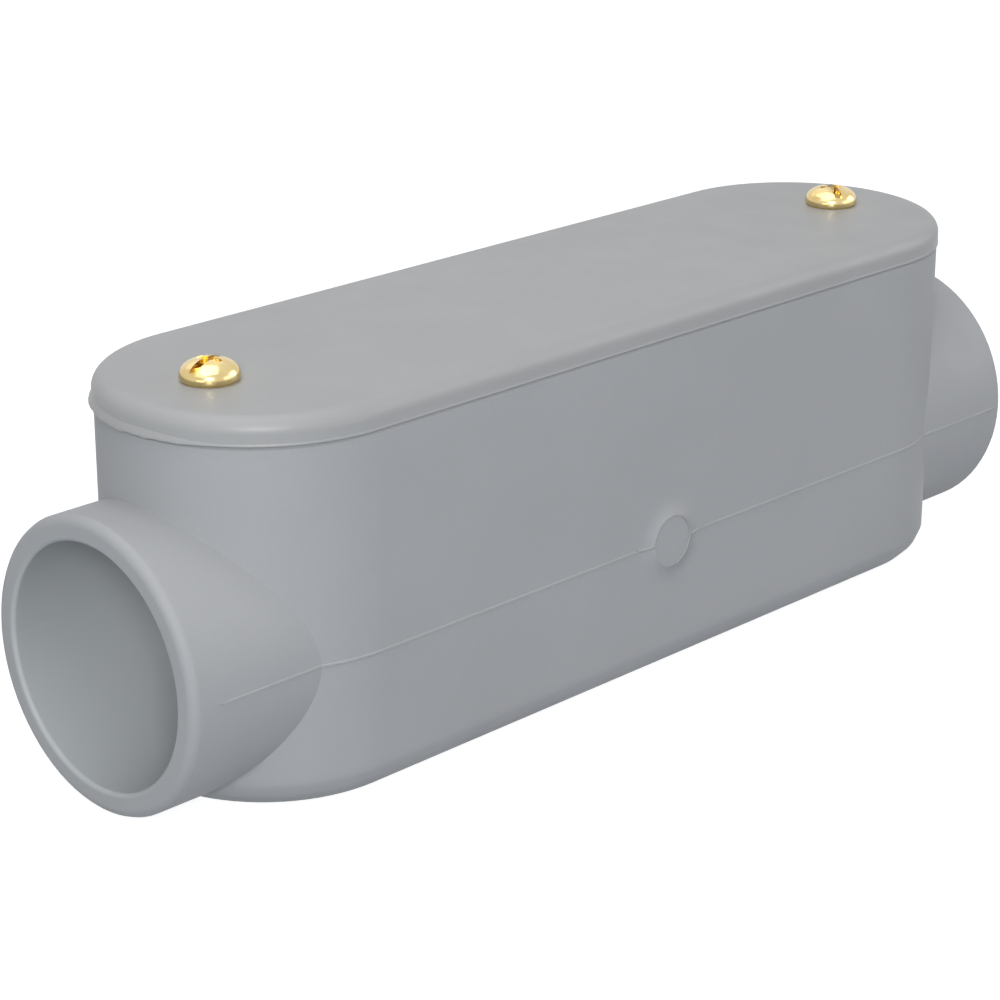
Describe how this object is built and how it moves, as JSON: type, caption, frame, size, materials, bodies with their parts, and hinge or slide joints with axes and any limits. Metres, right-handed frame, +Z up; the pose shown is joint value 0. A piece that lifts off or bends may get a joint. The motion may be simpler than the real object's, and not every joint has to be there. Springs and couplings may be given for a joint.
{
  "type": "conduit body",
  "caption": "Straight-through PVC conduit body with a solvent-weld conduit socket at each end, a wiring chamber and a screwed, gasketed cover.",
  "frame": {"origin": "middle of the underside, on the surface it stands on", "axes": "+X along both sockets towards the right hub, +Y across the body, +Z up through the cover"},
  "size_m": [0.1704, 0.045, 0.0575],
  "materials": {
    "housing": "moulded grey PVC, satin",
    "cover": "moulded grey PVC, satin",
    "gasket": "black closed-cell foam sheet",
    "screws": "bright yellow plated steel, brass coloured"
  },
  "bodies": {
    "housing": {"housing": "housing"},
    "cover": {"cover": "cover", "gasket": "gasket"},
    "cover_screw_left": {"cover_screw_left": "screws"},
    "cover_screw_right": {"cover_screw_right": "screws"}
  },
  "joints": [
    {"name": "cover_lift", "type": "slide", "parent": "housing", "child": "cover", "axis": [0, 0, 1], "range_m": [0, 0.06]},
    {"name": "left_screw_out", "type": "slide", "parent": "cover", "child": "cover_screw_left", "axis": [0, 0, 1], "range_m": [0, 0.016]},
    {"name": "right_screw_out", "type": "slide", "parent": "cover", "child": "cover_screw_right", "axis": [0, 0, 1], "range_m": [0, 0.016]}
  ]
}
